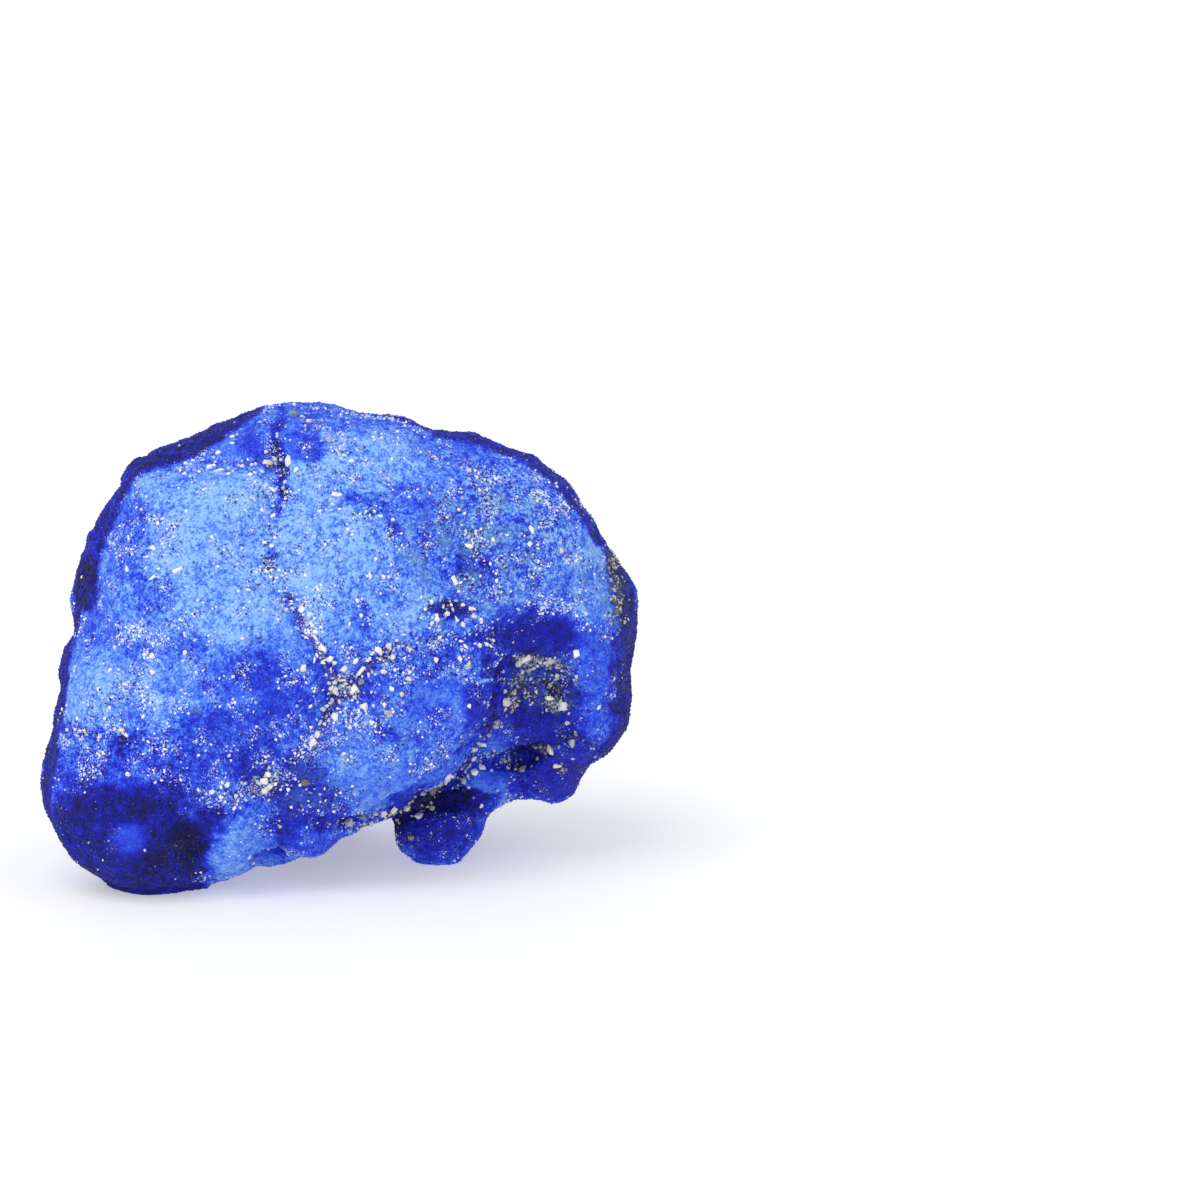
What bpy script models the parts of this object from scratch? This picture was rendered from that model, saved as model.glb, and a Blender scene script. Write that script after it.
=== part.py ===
"""An azurite nodule: one natural lump of azurite, domed in front, resting on three of its lobes.

Metres, +Z up. The domed show face looks towards -Y, and the origin is on the surface that the
nodule rests on, under the middle of its box. Sizes below are in millimetres.
"""

import math

import bmesh
import bpy
import numpy as np
from mathutils import Matrix, Vector, noise

MM = 0.001
NODE = "azurite_nodule"
COLLECTION = "azurite specimen"
BLUE = (0.035, 0.12, 0.78, 1.0)
ROUGHNESS = 0.85

# The show face is described across (along X) and up, as seen from this far above the horizon.
VIEW_TILT = math.radians(12)
FACE_LEVEL = 13.5
# The relief of the show face is full where the surface turns this much of the way to the viewer.
FULL_FACING = 0.25

LUMP_SUBDIVISIONS = 4
VOXEL = 0.28
MELT_FACTOR = 0.5
MELT_ROUNDS = 22
MOST_TRIANGLES = 9400
FOOT_CUT = 0.10

# The slab is one skin drawn tight over these lumps: centre (x, y, z) and radii (x, y, z).
SLAB_LUMPS = {
    "left_corner": ((-8.75, 0.6, 18.8), (2.25, 4.6, 2.3)),
    "crown": ((-2.5, 0.6, 19.3), (3.85, 5.4, 4.15)),
    "dome": ((4.9, 0.8, 13.6), (8.1, 7.4, 8.15)),
    "left_brow": ((-10.1, 0.2, 16.9), (2.2, 4.0, 2.3)),
    "left_cheek": ((-7.95, -1.5, 14.0), (4.2, 6.6, 5.4)),
    "foot": ((-9.2, -5.5, 5.0), (5.4, 4.5, 5.2)),
    "heart": ((-2.2, -1.6, 11.6), (6.0, 7.6, 6.0)),
    "belly": ((1.4, -2.4, 3.5), (1.6, 3.2, 1.4)),
    "lower_middle": ((3.4, -2.2, 6.9), (3.4, 5.0, 3.0)),
}

# These lumps bulge out of the slab, or stand beside and behind it.
LUMPS = {
    "crest": ((1.9, 0.4, 20.0), (3.4, 4.4, 3.0)),
    "left_side": ((-11.4, -2.2, 10.4), (2.4, 4.4, 2.8)),
    "far_dome": ((7.65, 0.8, 15.4), (5.5, 6.2, 5.55)),
    "right_shoulder": ((11.0, 1.6, 11.2), (3.95, 5.2, 5.3)),
    "right_flank": ((11.1, 1.8, 8.0), (3.7, 4.9, 3.6)),
    "lobe_right": ((10.15, 1.6, 5.12), (1.95, 2.8, 2.2)),
    "lobe_middle": ((7.2, 0.8, 4.7), (2.15, 2.9, 2.5)),
    "knob": ((5.0, 0.2, 2.0), (2.65, 2.5, 2.2)),
    "light_lobe": ((-5.2, -4.6, 2.9), (2.6, 3.5, 2.2)),
    "under_lip": ((-1.2, -3.0, 3.4), (3.2, 3.6, 1.85)),
    "back_crown": ((-2.4, 5.2, 17.6), (5.4, 4.0, 4.3)),
    "back_crest": ((4.2, 4.6, 17.6), (3.8, 3.6, 3.2)),
    "back_left": ((-7.5, 3.6, 13.4), (4.5, 4.4, 5.4)),
    "back_cheek": ((-9.0, 2.2, 7.6), (4.2, 4.4, 4.6)),
    "back_middle": ((-0.4, 7.0, 11.6), (5.0, 3.8, 5.2)),
    "back_right": ((6.6, 6.0, 13.2), (4.6, 3.9, 4.6)),
    "back_shoulder": ((11.0, 4.4, 10.2), (3.2, 3.6, 3.8)),
    "back_low_right": ((6.2, 5.4, 6.6), (4.3, 3.8, 3.6)),
    "back_low_left": ((-5.4, 5.4, 6.0), (4.2, 3.8, 3.9)),
    "back_foot": ((-1.8, 6.2, 3.1), (3.6, 3.2, 3.2)),
    "root": ((0.5, 1.6, 9.4), (11.0, 6.0, 6.2)),
}

# Swellings of the show face: across, up, radius, height.
SWELLINGS = {
    "left_oval": (-11.8, -4.5, 2.1, 0.45),
    "dome_left": (-6.6, 4.5, 3.3, 0.60),
    "dome_corner": (-9.0, 5.6, 1.8, 0.25),
    "dome_low": (-5.1, -0.6, 3.2, 0.45),
    "crest_left": (-2.9, 8.6, 1.7, 0.35),
    "crest_right": (0.9, 7.9, 2.3, 0.40),
    "dome_middle": (0.8, 2.6, 3.4, 0.45),
    "dome_right": (5.2, 6.4, 2.8, 0.35),
    "far_dome": (8.6, 4.2, 3.2, 0.40),
    "far_edge": (12.7, -0.6, 2.0, 0.60),
    "right_ridge": (13.2, -4.0, 2.0, 0.55),
    "below_seam": (2.9, -6.3, 2.9, 0.60),
    "belly_swell": (1.4, -9.0, 2.6, 0.40),
    "left_belly": (-5.0, -5.2, 2.9, 0.50),
    "low_left": (-8.4, -7.0, 2.6, 0.30),
    "blue_bead": (6.2, -5.8, 2.0, 0.45),
    "mid_bead": (6.4, -2.9, 1.7, 0.30),
    "foot_eye": (-10.2, -11.9, 1.1, 0.35),
    "low_lobe": (-5.3, -12.2, 1.9, 0.30),
    "lip_lobe": (-1.4, -12.0, 1.6, 0.30),
}

# Hollows of the show face: across, up, radius, depth.
HOLLOWS = {
    "crack_head": (-2.9, 6.7, 1.1, 0.50),
    "dark_hollow": (9.6, -2.2, 2.6, 1.10),
    "grain_hollow": (10.4, -4.8, 2.8, 1.50),
    "dust_pit": (-3.9, -9.4, 1.3, 0.45),
    "small_pit": (5.0, 0.7, 1.1, 0.30),
    "mid_pit": (6.2, -0.6, 1.3, 0.40),
    "low_pit": (2.6, -9.6, 0.9, 0.30),
    "foot_dip": (-7.0, -12.0, 1.3, 0.35),
    "left_dip": (-11.6, -1.4, 1.4, 0.25),
    "top_dip": (3.6, 5.0, 1.3, 0.25),
}

# Seams between the swellings: depth, half width, and the points that they follow (across, up).
SEAMS = {
    "dark_crack": (0.26, 0.45, ((-2.5, 8.6), (-2.9, 6.5), (-3.2, 4.0), (-3.3, 2.0))),
    "crack_arm": (0.15, 0.45, ((-7.0, 6.6), (-4.6, 6.5), (-2.9, 6.7))),
    "grain_seam": (0.26, 0.48, ((-2.4, 0.2), (-1.5, -1.6), (-0.9, -2.8), (0.4, -4.5))),
    "right_branch": (
        0.22,
        0.50,
        ((0.4, -4.5), (1.8, -3.6), (3.3, -2.6), (6.8, -2.0), (9.5, -1.3)),
    ),
    "low_branch": (0.20, 0.45, ((0.4, -4.5), (-0.5, -5.8), (-1.0, -7.4), (-1.9, -9.0))),
    "left_seam": (0.15, 0.60, ((-11.2, -1.8), (-9.7, -3.4), (-9.8, -5.8), (-10.4, -7.0))),
    "left_low_seam": (0.14, 0.60, ((-13.6, -6.2), (-12.4, -6.9), (-10.2, -6.9), (-8.8, -7.4))),
    "undercut": (
        1.05,
        0.52,
        (
            (0.6, -11.8),
            (1.8, -11.1),
            (3.2, -10.6),
            (4.6, -9.7),
            (6.2, -8.6),
            (7.2, -7.2),
            (8.3, -5.6),
            (8.7, -4.0),
        ),
    ),
    "lobe_seam": (0.60, 0.45, ((7.0, -8.0), (8.9, -8.1), (10.4, -7.3), (12.0, -6.6))),
    "lobe_gap": (0.60, 0.40, ((9.1, -8.2), (9.1, -10.4))),
    "knob_neck": (0.50, 0.50, ((2.8, -10.9), (5.2, -10.1), (7.6, -10.4))),
    "light_gap": (0.30, 0.70, ((-7.4, -10.4), (-6.9, -12.4), (-6.2, -14.4))),
    "lip_gap": (0.25, 0.50, ((-3.4, -11.2), (-3.3, -12.2), (-2.7, -13.2))),
}

# The unevenness of the whole surface: length of a wave, height in front, height elsewhere.
WAVES = ((5.5, 0.16, 0.60), (2.6, 0.12, 0.46), (1.4, 0.05, 0.20))


def add_lump(shape, centre, radii):
    bmesh.ops.create_icosphere(
        shape,
        subdivisions=LUMP_SUBDIVISIONS,
        radius=1.0,
        matrix=Matrix.Translation(centre) @ Matrix.Diagonal((*radii, 1.0)),
    )


def add_slab(shape):
    """Adds the tight skin over the slab's lumps."""
    cores = bmesh.new()
    for centre, radii in SLAB_LUMPS.values():
        add_lump(cores, centre, radii)
    bmesh.ops.delete(cores, geom=cores.edges[:] + cores.faces[:], context="EDGES_FACES")
    skin = bmesh.ops.convex_hull(cores, input=cores.verts[:])
    bmesh.ops.delete(cores, geom=skin["geom_interior"], context="VERTS")
    mesh = bpy.data.meshes.new("slab")
    cores.to_mesh(mesh)
    cores.free()
    shape.from_mesh(mesh)


def lumps_object():
    """The slab and the lumps grown into one skin, with soft creases between them."""
    shape = bmesh.new()
    add_slab(shape)
    for centre, radii in LUMPS.values():
        add_lump(shape, centre, radii)
    mesh = bpy.data.meshes.new("lumps")
    shape.to_mesh(mesh)
    shape.free()
    lumps = bpy.data.objects.new("lumps", mesh)
    bpy.context.scene.collection.objects.link(lumps)
    merge = lumps.modifiers.new("merge", "REMESH")
    merge.mode = "VOXEL"
    merge.voxel_size = VOXEL
    melt = lumps.modifiers.new("melt", "SMOOTH")
    melt.factor = MELT_FACTOR
    melt.iterations = MELT_ROUNDS
    return lumps


def baked(obj):
    """The object's finished form as a plain mesh. The object is removed."""
    graph = bpy.context.evaluated_depsgraph_get()
    mesh = bpy.data.meshes.new_from_object(obj.evaluated_get(graph))
    bpy.data.objects.remove(obj)
    return mesh


def read_points(mesh):
    points = np.empty(len(mesh.vertices) * 3)
    mesh.vertices.foreach_get("co", points)
    return points.reshape(-1, 3)


def write_points(mesh, points):
    mesh.vertices.foreach_set("co", points.ravel())
    mesh.update()


def read_normals(mesh):
    return np.array([vertex.normal[:] for vertex in mesh.vertices])


def seen(points):
    """Across and up of each point, as the show face is seen."""
    up = (points[:, 2] - FACE_LEVEL) * math.cos(VIEW_TILT) + points[:, 1] * math.sin(VIEW_TILT)
    return np.stack([points[:, 0], up], axis=1)


def facing(normals):
    """From 0 where the surface turns away from the viewer to 1 where it faces the viewer."""
    towards = np.array([0.0, -math.cos(VIEW_TILT), math.sin(VIEW_TILT)])
    return np.clip((normals @ towards) / FULL_FACING, 0.0, 1.0)


def distance_to_path(places, path):
    """The distance of each place from a line through the path's points."""
    nearest = np.full(len(places), np.inf)
    for start, end in zip(np.array(path[:-1]), np.array(path[1:])):
        along = end - start
        share = np.clip((places - start) @ along / (along @ along), 0.0, 1.0)
        gap = np.linalg.norm(places - start - share[:, None] * along, axis=1)
        nearest = np.minimum(nearest, gap)
    return nearest


def bowl(places, across, up, radius):
    """1 at the middle of a round place, falling smoothly to 0 at its edge."""
    gap = np.linalg.norm(places - (across, up), axis=1) / radius
    return np.clip(1.0 - gap**2, 0.0, None) ** 2


def face_relief(points):
    """How far the swellings, hollows and seams move each point of the show face."""
    places = seen(points)
    relief = np.zeros(len(points))
    for across, up, radius, height in SWELLINGS.values():
        relief += height * bowl(places, across, up, radius)
    for across, up, radius, depth in HOLLOWS.values():
        relief -= depth * bowl(places, across, up, radius)
    for depth, half_width, path in SEAMS.values():
        relief -= depth * np.exp(-((distance_to_path(places, path) / half_width) ** 2))
    return relief


def waves(points, front):
    """The natural unevenness: gentle in front, stronger on the sides and the back."""
    height = np.zeros(len(points))
    for length, in_front, elsewhere in WAVES:
        wave = np.array([noise.noise(Vector(point) / length) for point in points])
        height += wave * (front * in_front + (1.0 - front) * elsewhere)
    return height


def shaped_mesh():
    mesh = baked(lumps_object())
    points, normals = read_points(mesh), read_normals(mesh)
    front = facing(normals)
    out = face_relief(points) * front + waves(points, front)
    write_points(mesh, points + normals * out[:, None])
    return mesh


def coarse_mesh(mesh):
    """The same form with few enough triangles."""
    fine = bpy.data.objects.new("fine", mesh)
    bpy.context.scene.collection.objects.link(fine)
    fewer = fine.modifiers.new("fewer", "DECIMATE")
    fewer.ratio = MOST_TRIANGLES / (2 * len(mesh.polygons))
    fewer.use_collapse_triangulate = True
    return baked(fine)


def stand_on_feet(mesh):
    """Cuts the lowest lobes off flat, so that they stand on one plane."""
    shape = bmesh.new()
    shape.from_mesh(mesh)
    cut = bmesh.ops.bisect_plane(
        shape,
        geom=shape.verts[:] + shape.edges[:] + shape.faces[:],
        plane_co=(0.0, 0.0, FOOT_CUT),
        plane_no=(0.0, 0.0, 1.0),
        clear_inner=True,
    )
    rims = [part for part in cut["geom_cut"] if isinstance(part, bmesh.types.BMEdge)]
    bmesh.ops.holes_fill(shape, edges=rims)
    bmesh.ops.triangulate(shape, faces=shape.faces[:])
    bmesh.ops.recalc_face_normals(shape, faces=shape.faces[:])
    shape.to_mesh(mesh)
    shape.free()


def place(mesh):
    """Puts the middle of the underside at the origin, in metres."""
    points = read_points(mesh)
    low, high = points.min(axis=0), points.max(axis=0)
    middle = np.array([(low[0] + high[0]) / 2, (low[1] + high[1]) / 2, low[2]])
    write_points(mesh, (points - middle) * MM)


def azurite_material():
    material = bpy.data.materials.new("azurite")
    material.use_nodes = True
    shader = material.node_tree.nodes["Principled BSDF"]
    shader.inputs["Base Color"].default_value = BLUE
    shader.inputs["Roughness"].default_value = ROUGHNESS
    shader.inputs["Metallic"].default_value = 0.0
    return material


def main():
    for obj in list(bpy.data.objects):
        bpy.data.objects.remove(obj)
    mesh = coarse_mesh(shaped_mesh())
    stand_on_feet(mesh)
    place(mesh)
    mesh.name = NODE
    mesh.materials.clear()
    mesh.materials.append(azurite_material())
    mesh.shade_smooth()
    nodule = bpy.data.objects.new(NODE, mesh)
    collection = bpy.data.collections.new(COLLECTION)
    bpy.context.scene.collection.children.link(collection)
    collection.objects.link(nodule)


main()
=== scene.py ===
import math

import bmesh
import bpy
import numpy as np
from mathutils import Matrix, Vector, noise


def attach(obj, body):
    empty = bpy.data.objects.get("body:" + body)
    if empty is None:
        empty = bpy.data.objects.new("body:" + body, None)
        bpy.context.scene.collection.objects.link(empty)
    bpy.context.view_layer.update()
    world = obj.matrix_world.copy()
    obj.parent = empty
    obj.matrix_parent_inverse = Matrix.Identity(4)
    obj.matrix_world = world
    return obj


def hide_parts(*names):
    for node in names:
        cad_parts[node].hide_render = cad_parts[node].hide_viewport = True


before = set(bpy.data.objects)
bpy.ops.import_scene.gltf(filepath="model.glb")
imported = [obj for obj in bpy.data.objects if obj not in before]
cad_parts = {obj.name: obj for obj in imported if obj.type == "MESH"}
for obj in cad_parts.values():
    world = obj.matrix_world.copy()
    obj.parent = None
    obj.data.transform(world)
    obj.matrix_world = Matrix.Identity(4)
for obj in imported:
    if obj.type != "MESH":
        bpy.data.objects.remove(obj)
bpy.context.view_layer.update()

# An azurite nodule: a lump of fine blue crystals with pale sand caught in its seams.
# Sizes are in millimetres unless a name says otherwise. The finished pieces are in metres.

MM = 0.001
NODE = "azurite_nodule"
BODY = "root"

# The view of the photograph

# Its side in pixels, and its scale on the nodule.
PHOTO_SIDE = 1200
PIXELS_PER_MM = 20.0
VIEW_TILT = math.radians(12)
VIEW_DISTANCE = 420.0
VIEW_AIM = np.array([12.914, -0.357, 13.39])
SENSOR_WIDTH = 36.0
LENS = SENSOR_WIDTH * VIEW_DISTANCE * PIXELS_PER_MM / PHOTO_SIDE
VIEW_FORWARD = np.array([0.0, math.cos(VIEW_TILT), -math.sin(VIEW_TILT)])
VIEW_UP = np.array([0.0, math.sin(VIEW_TILT), math.cos(VIEW_TILT)])
# What is painted from the photograph fades out between these turns of the surface to the viewer.
PAINT_ENDS, PAINT_IS_FULL = -0.20, 0.12
# Round the side, the paint's edge wanders further by this much, in waves of this length.
PAINT_WANDERS, PAINT_WAVE = 0.5, 3.0
# Each use of uneven waves has seeds of its own, from these up.
CRUST_SEED, BACK_SEED, CLUSTER_SEED, LINE_SEED, PAINT_SEED, RIM_SEED = 5, 9, 21, 23, 27, 28
WOBBLE_SEEDS = (31, 41)

# Shape of the crust

MERGE_DISTANCE = 0.001
SKIN_VOXEL = 0.184
SKIN_SMOOTHING = 0.5
SKIN_SMOOTH_ROUNDS = 14
# The skin lies this far inside the solid, so that its crystals reach the solid's surface.
SKIN_DEPTH = 0.09
# Skin that is this low and turned this far down is one of the flats that the nodule stands on.
FLOOR_REACH = 0.16
FLOOR_FACING = -0.6
# Unevenness of the crust: length of a wave and height of it.
CRUST_WAVES = ((2.2, 0.10), (1.1, 0.085), (0.6, 0.06))
CRUST_CELL, CRUST_CELL_HEIGHT = 0.42, 0.07
# How often the skin is smoothed to find its hollows.
HOLLOW_ROUNDS = 70

# Grooves of the show face, in pixels of the photograph: depth in mm, half width, and route.
GROOVES = {
    "crack_top": (0.24, 6, ((272, 428), (277, 450), (281, 476), (282, 496))),
    "crack_low": (0.07, 5, ((282, 496), (278, 530), (274, 562))),
    "crack_arm": (0.14, 6, ((205, 462), (240, 466), (270, 464))),
    "sand_seam": (0.20, 6, ((290, 600), (305, 630), (320, 652), (345, 690))),
    "seam_right": (0.16, 6, ((345, 690), (372, 665), (400, 646), (440, 640), (500, 634))),
    "seam_low": (0.14, 6, ((345, 690), (328, 716), (318, 748))),
    "undercut": (
        0.30, 9, ((350, 826), (390, 816), (420, 806), (446, 784), (468, 762), (482, 742), (497, 722))
    ),
    "lobe_seam": (0.26, 7, ((472, 764), (500, 766), (522, 764), (548, 750), (575, 738))),
    "lip_gap": (0.18, 6, ((270, 826), (276, 846), (284, 862))),
    "knob_neck": (0.22, 7, ((398, 814), (430, 806), (470, 800))),
}

# Small bulges and dents of the show face: middle, half width and height in pixels, height in mm.
BULGES = {
    "lip": (334, 842, 46, 20, 0.42),
    "light_lobe_end": (270, 868, 18, 16, -0.70),
    "shoulder": (602, 534, 30, 36, 0.22),
    "crown_right": (322, 402, 26, 16, -0.35),
    "left_brow": (86, 545, 14, 18, 0.25),
    "corner": (132, 470, 20, 16, 0.30),
}

# Colour of the crust

# How deep the blue is: 0 is near black, 0.5 royal blue and 1 the palest blue.
FRONT_TONE = 0.62
# Patches of the show face, in pixels of the photograph: middle, half width and height, tone. The tones hold
# painted light and shade as well as the crust's own blues.
TONE_PATCHES = {
    # Pale upper faces: the crust's own pale blue, partly painted light where they face the light above.
    "upper_middle": (232, 560, 140, 112, 0.87),
    "left_side": (124, 520, 30, 44, 0.60),
    "crest": (350, 455, 100, 38, 0.85),
    "crest_top": (380, 420, 90, 16, 0.62),
    "dome": (332, 535, 90, 75, 0.86),
    "dome_low": (390, 600, 90, 50, 0.80),
    "dome_right": (505, 525, 100, 80, 0.67),
    "far_edge": (590, 560, 24, 75, 0.80),
    "shoulder": (560, 480, 40, 40, 0.62),
    "left_cheek": (98, 690, 44, 52, 0.80),
    "left_band": (184, 690, 60, 42, 0.82),
    "middle": (262, 690, 66, 46, 0.50),
    "left_belly": (225, 742, 75, 40, 0.50),
    "low_middle": (300, 792, 55, 42, 0.32),
    "belly": (372, 772, 64, 38, 0.72),
    "belly_right": (432, 776, 40, 24, 0.62),
    # Painted light and shade on the round bead: lighter at its upper left, darker to its right and below.
    "bead": (436, 702, 44, 34, 0.66),
    "bead_shaded_side": (482, 716, 24, 34, 0.34),
    "shelf": (480, 650, 60, 20, 0.48),
    # Painted shade in the hollow and under the shelf above it.
    "hollow_brow": (540, 634, 66, 30, 0.40),
    "hollow_top": (546, 638, 50, 18, 0.25),
    "hollow_left": (500, 690, 20, 50, 0.28),
    "hollow": (542, 706, 54, 56, 0.25),
    "hollow_grey": (536, 684, 26, 16, 0.40),
    "hollow_dark": (554, 691, 11, 10, 0.00),
    "right_ridge": (594, 660, 18, 62, 0.56),
    # Painted shade on the right side, turned away from the light.
    "right_side_shade": (628, 680, 22, 76, 0.14),
    # Painted shade on the lobes set back below the belly, and on the knob under its overhang.
    "lobes": (562, 770, 60, 38, 0.24),
    "lobe_middle": (500, 779, 24, 13, 0.50),
    "knob": (440, 830, 58, 42, 0.22),
    "knob_left": (400, 828, 16, 22, 0.14),
    "knob_neck": (446, 800, 50, 10, 0.12),
    # Painted shade on the foot, which faces down, over its own deep indigo.
    "foot": (120, 838, 104, 66, 0.16),
    "foot_edge": (116, 786, 84, 18, 0.28),
    "foot_brow": (112, 806, 58, 24, 0.12),
    "foot_shade": (172, 858, 46, 36, 0.08),
    "foot_side": (190, 802, 18, 16, 0.40),
    "foot_gap": (212, 824, 18, 20, 0.14),
    "light_lobe": (240, 852, 34, 38, 0.74),
    "light_lobe_top": (238, 812, 18, 20, 0.60),
    "lip": (322, 846, 46, 13, 0.46),
    "lip_top": (330, 818, 40, 14, 0.36),
    "lip_left": (288, 826, 18, 24, 0.30),
    "left_strip": (56, 758, 14, 48, 0.52),
    "low_band": (126, 764, 88, 26, 0.46),
    "crest_left": (262, 440, 48, 22, 0.56),
    "crest_left_pale": (228, 442, 20, 16, 0.68),
    "crack_side": (301, 446, 20, 20, 0.50),
    "crest_right": (462, 447, 46, 18, 0.60),
}

# Small spots of tone, in pixels of the photograph: middle, half width and height, tone. Some are painted
# light and shade, such as the shade on the bead.
TONE_SPOTS = {
    "crack_low": (275, 508, 6, 10, 0.50),
    "crack_end": (272, 556, 8, 12, 0.54),
    "dome": (366, 502, 24, 12, 0.58),
    "dome_right": (394, 527, 11, 10, 0.42),
    "middle": (448, 610, 28, 11, 0.32),
    "right": (474, 566, 22, 20, 0.42),
    "side": (430, 522, 20, 30, 0.60),
    "left_top": (140, 512, 16, 14, 0.58),
    "left": (128, 562, 18, 22, 0.56),
    "streak": (152, 596, 32, 20, 0.60),
    "cheek": (176, 642, 28, 18, 0.64),
    "seam": (320, 692, 26, 12, 0.48),
    "seam_right": (366, 692, 22, 12, 0.48),
    "below": (386, 732, 15, 12, 0.46),
    "low": (252, 770, 22, 15, 0.35),
    "pit": (312, 780, 10, 15, 0.34),
    "foot_eye": (128, 838, 22, 18, 0.47),
    "pale_corner": (152, 483, 27, 15, 0.80),
    "pale_top": (222, 502, 34, 22, 0.95),
    "pale_crest": (336, 466, 22, 14, 0.90),
    "pale_round": (312, 582, 26, 16, 0.95),
    "pale_left": (184, 570, 22, 8, 0.98),
    "pale_dome": (306, 524, 16, 12, 0.94),
    "pale_edge": (600, 552, 12, 26, 0.86),
    "pale_dash": (482, 681, 11, 3, 1.00),
    "pale_belly": (352, 762, 26, 14, 0.80),
    "deep_streak": (362, 618, 9, 26, 0.52),
    "deep_crest": (254, 446, 18, 15, 0.42),
    "deep_top": (280, 418, 5, 16, 0.34),
    # Painted shade on the bead's lower right.
    "bead_shade": (440, 716, 15, 13, 0.46),
    "deep_shelf": (420, 668, 26, 9, 0.50),
    "deep_side": (300, 664, 16, 12, 0.56),
}

# Lines of tone that come and go: tone, half width, and route.
TONE_LINES = {
    # Painted shade in the crack.
    "crack_top": (0.10, 6, ((277, 430), (278, 456), (283, 496))),
    "left_low": (0.30, 6, ((60, 722), (78, 730), (110, 738), (136, 738))),
}

# Dark bands along the outline, with hardly a speck on them: tone, half width, and route. They are painted
# shade where the surface turns away from the light, over a crust that is dark and grainy there of its own.
RIM_LINES = {
    "low_left": (0.16, 7, ((44, 800), (52, 752), (58, 715), (62, 680), (68, 640), (74, 615))),
    "foot": (0.12, 7, ((42, 780), (46, 820), (74, 866), (130, 890), (200, 888))),
    "left_low": (0.07, 14, ((84, 600), (86, 574), (90, 552))),
    "left": (0.17, 12, ((90, 552), (103, 524), (112, 504))),
    "left_top": (0.20, 9, ((112, 504), (120, 488), (132, 468))),
    "top_left": (0.12, 12, ((132, 466), (150, 458), (172, 453), (196, 445), (214, 434))),
    "crown": (0.15, 9, ((214, 434), (234, 422), (256, 406))),
    "top": (0.24, 4, ((350, 407), (390, 413), (430, 428))),
    "top_right": (
        0.22, 8, ((440, 432), (470, 436), (500, 444), (530, 459), (556, 478), (576, 500), (600, 540))
    ),
    "right": (0.13, 13, ((614, 550), (626, 600), (636, 660), (636, 720), (608, 752))),
}
# The share of the white specks that a dark band keeps, and its dark grains in a square millimetre.
RIM_SPECKS, RIM_DARK = 0.15, 3.0
# The dark bands fade out between these turns of the surface to the viewer, unevenly.
RIM_ENDS, RIM_IS_FULL = -0.20, 0.08
RIM_WANDERS, RIM_WAVE = 0.30, 1.8

# How far the edges of lines and patches wander, in pixels, and the waves that they wander in:
# length in millimetres, and share.
LINE_WOBBLE, PATCH_WOBBLE = 4.0, 11.0
WOBBLE_WAVES = ((2.6, 1.0), (0.9, 0.7), (0.42, 0.6))
# How a patch fades from its middle to its edge, as shares of its radii.
PATCH_IS_FULL, PATCH_ENDS = 0.55, 1.20
BAND_IS_FULL, BAND_ENDS = 0.55, 1.15

# The back and the sides have no photograph: their tone wanders by itself.
BACK_TONE = 0.44
BACK_TONE_WAVES = ((9.0, 0.34), (4.0, 0.26), (1.8, 0.12))
# Painted shade in hollows: how much darker a hollow is for each millimetre of its depth, and between which
# depths.
BACK_HOLLOW_SHADE, BACK_HOLLOW_RANGE = 1.1, (-0.2, 0.4)
FRONT_HOLLOW_SHADE, FRONT_HOLLOW_RANGE = 0.5, (-0.12, 0.25)
# Painted shade on the underside: it is darker, from one turn downwards to the next.
UNDERSIDE_SHADE, UNDERSIDE_TURN = 0.16, (0.2, 0.9)
# A tone line breaks up: its middle strength, and the height and length of the waves in it.
LINE_STRENGTH, LINE_BREAKS, LINE_BREAK_WAVE = 0.85, 1.2, 0.6
LEAST_LINE = 0.3

# A greenish cast: middle, half width and height, strength.
GREEN_PATCHES = {
    "dome_right": (470, 540, 78, 62, 1.2),
    "low_middle": (300, 790, 56, 30, 0.7),
    "belly": (340, 750, 30, 20, 0.5),
    "shelf": (470, 590, 44, 26, 0.6),
    "hollow": (545, 685, 40, 36, 0.8),
    "right_rim": (612, 590, 14, 50, 0.8),
}

# Grains on the crust

# White specks: specks in a square millimetre of the show face, by patch and by line.
FRONT_SPECKS, BACK_SPECKS = 3.4, 1.4
# The darkest skin holds this share of the specks, and skin of the second tone or more holds all.
DARK_SPECKS, SPECK_TONES = 0.08, (0.14, 0.46)
SPECK_PATCHES = {
    "cheek": (142, 665, 34, 48, 15.0),
    "left_low": (95, 735, 48, 22, 9.0),
    "left_top": (146, 540, 38, 38, 8.0),
    "low_left": (150, 760, 90, 28, 7.0),
    "low_belt": (236, 764, 100, 34, 6.0),
    "dust_pit": (258, 785, 44, 26, 12.0),
    "below_seam": (330, 722, 50, 42, 11.0),
    "dome": (330, 520, 90, 70, 4.5),
    "dome_right": (500, 530, 90, 80, 6.5),
    "dome_far": (560, 520, 34, 60, 8.0),
    "spot_dome": (364, 504, 26, 13, 12.0),
    "shelf": (450, 634, 70, 20, 10.0),
    "frosted": (558, 598, 26, 18, 16.0),
    "above_bead": (440, 664, 70, 16, 7.0),
    "belly": (360, 780, 60, 40, 2.4),
    "crest": (320, 440, 70, 26, 5.0),
    "hollow": (540, 680, 40, 30, 3.5),
}
SPECK_LINES = {
    "crack": (10.0, 9, ((274, 436), (282, 500), (275, 562), (284, 592))),
    "arm": (9.0, 10, ((195, 462), (270, 464))),
    "seam": (18.0, 13, ((290, 600), (320, 652), (345, 690))),
    "seam_right": (13.0, 12, ((345, 690), (400, 646), (500, 634))),
    "seam_low": (14.0, 12, ((345, 690), (318, 748))),
}

# Specks and dark grains come in clusters: how many there are on average, and the height and
# length of the waves that gather them, coarse and fine.
CLUSTER_MEAN, LEAST_CLUSTER = 0.7, 0.12
CLUSTER_WAVES = ((1.9, 1.2), (1.5, 0.5))

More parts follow.
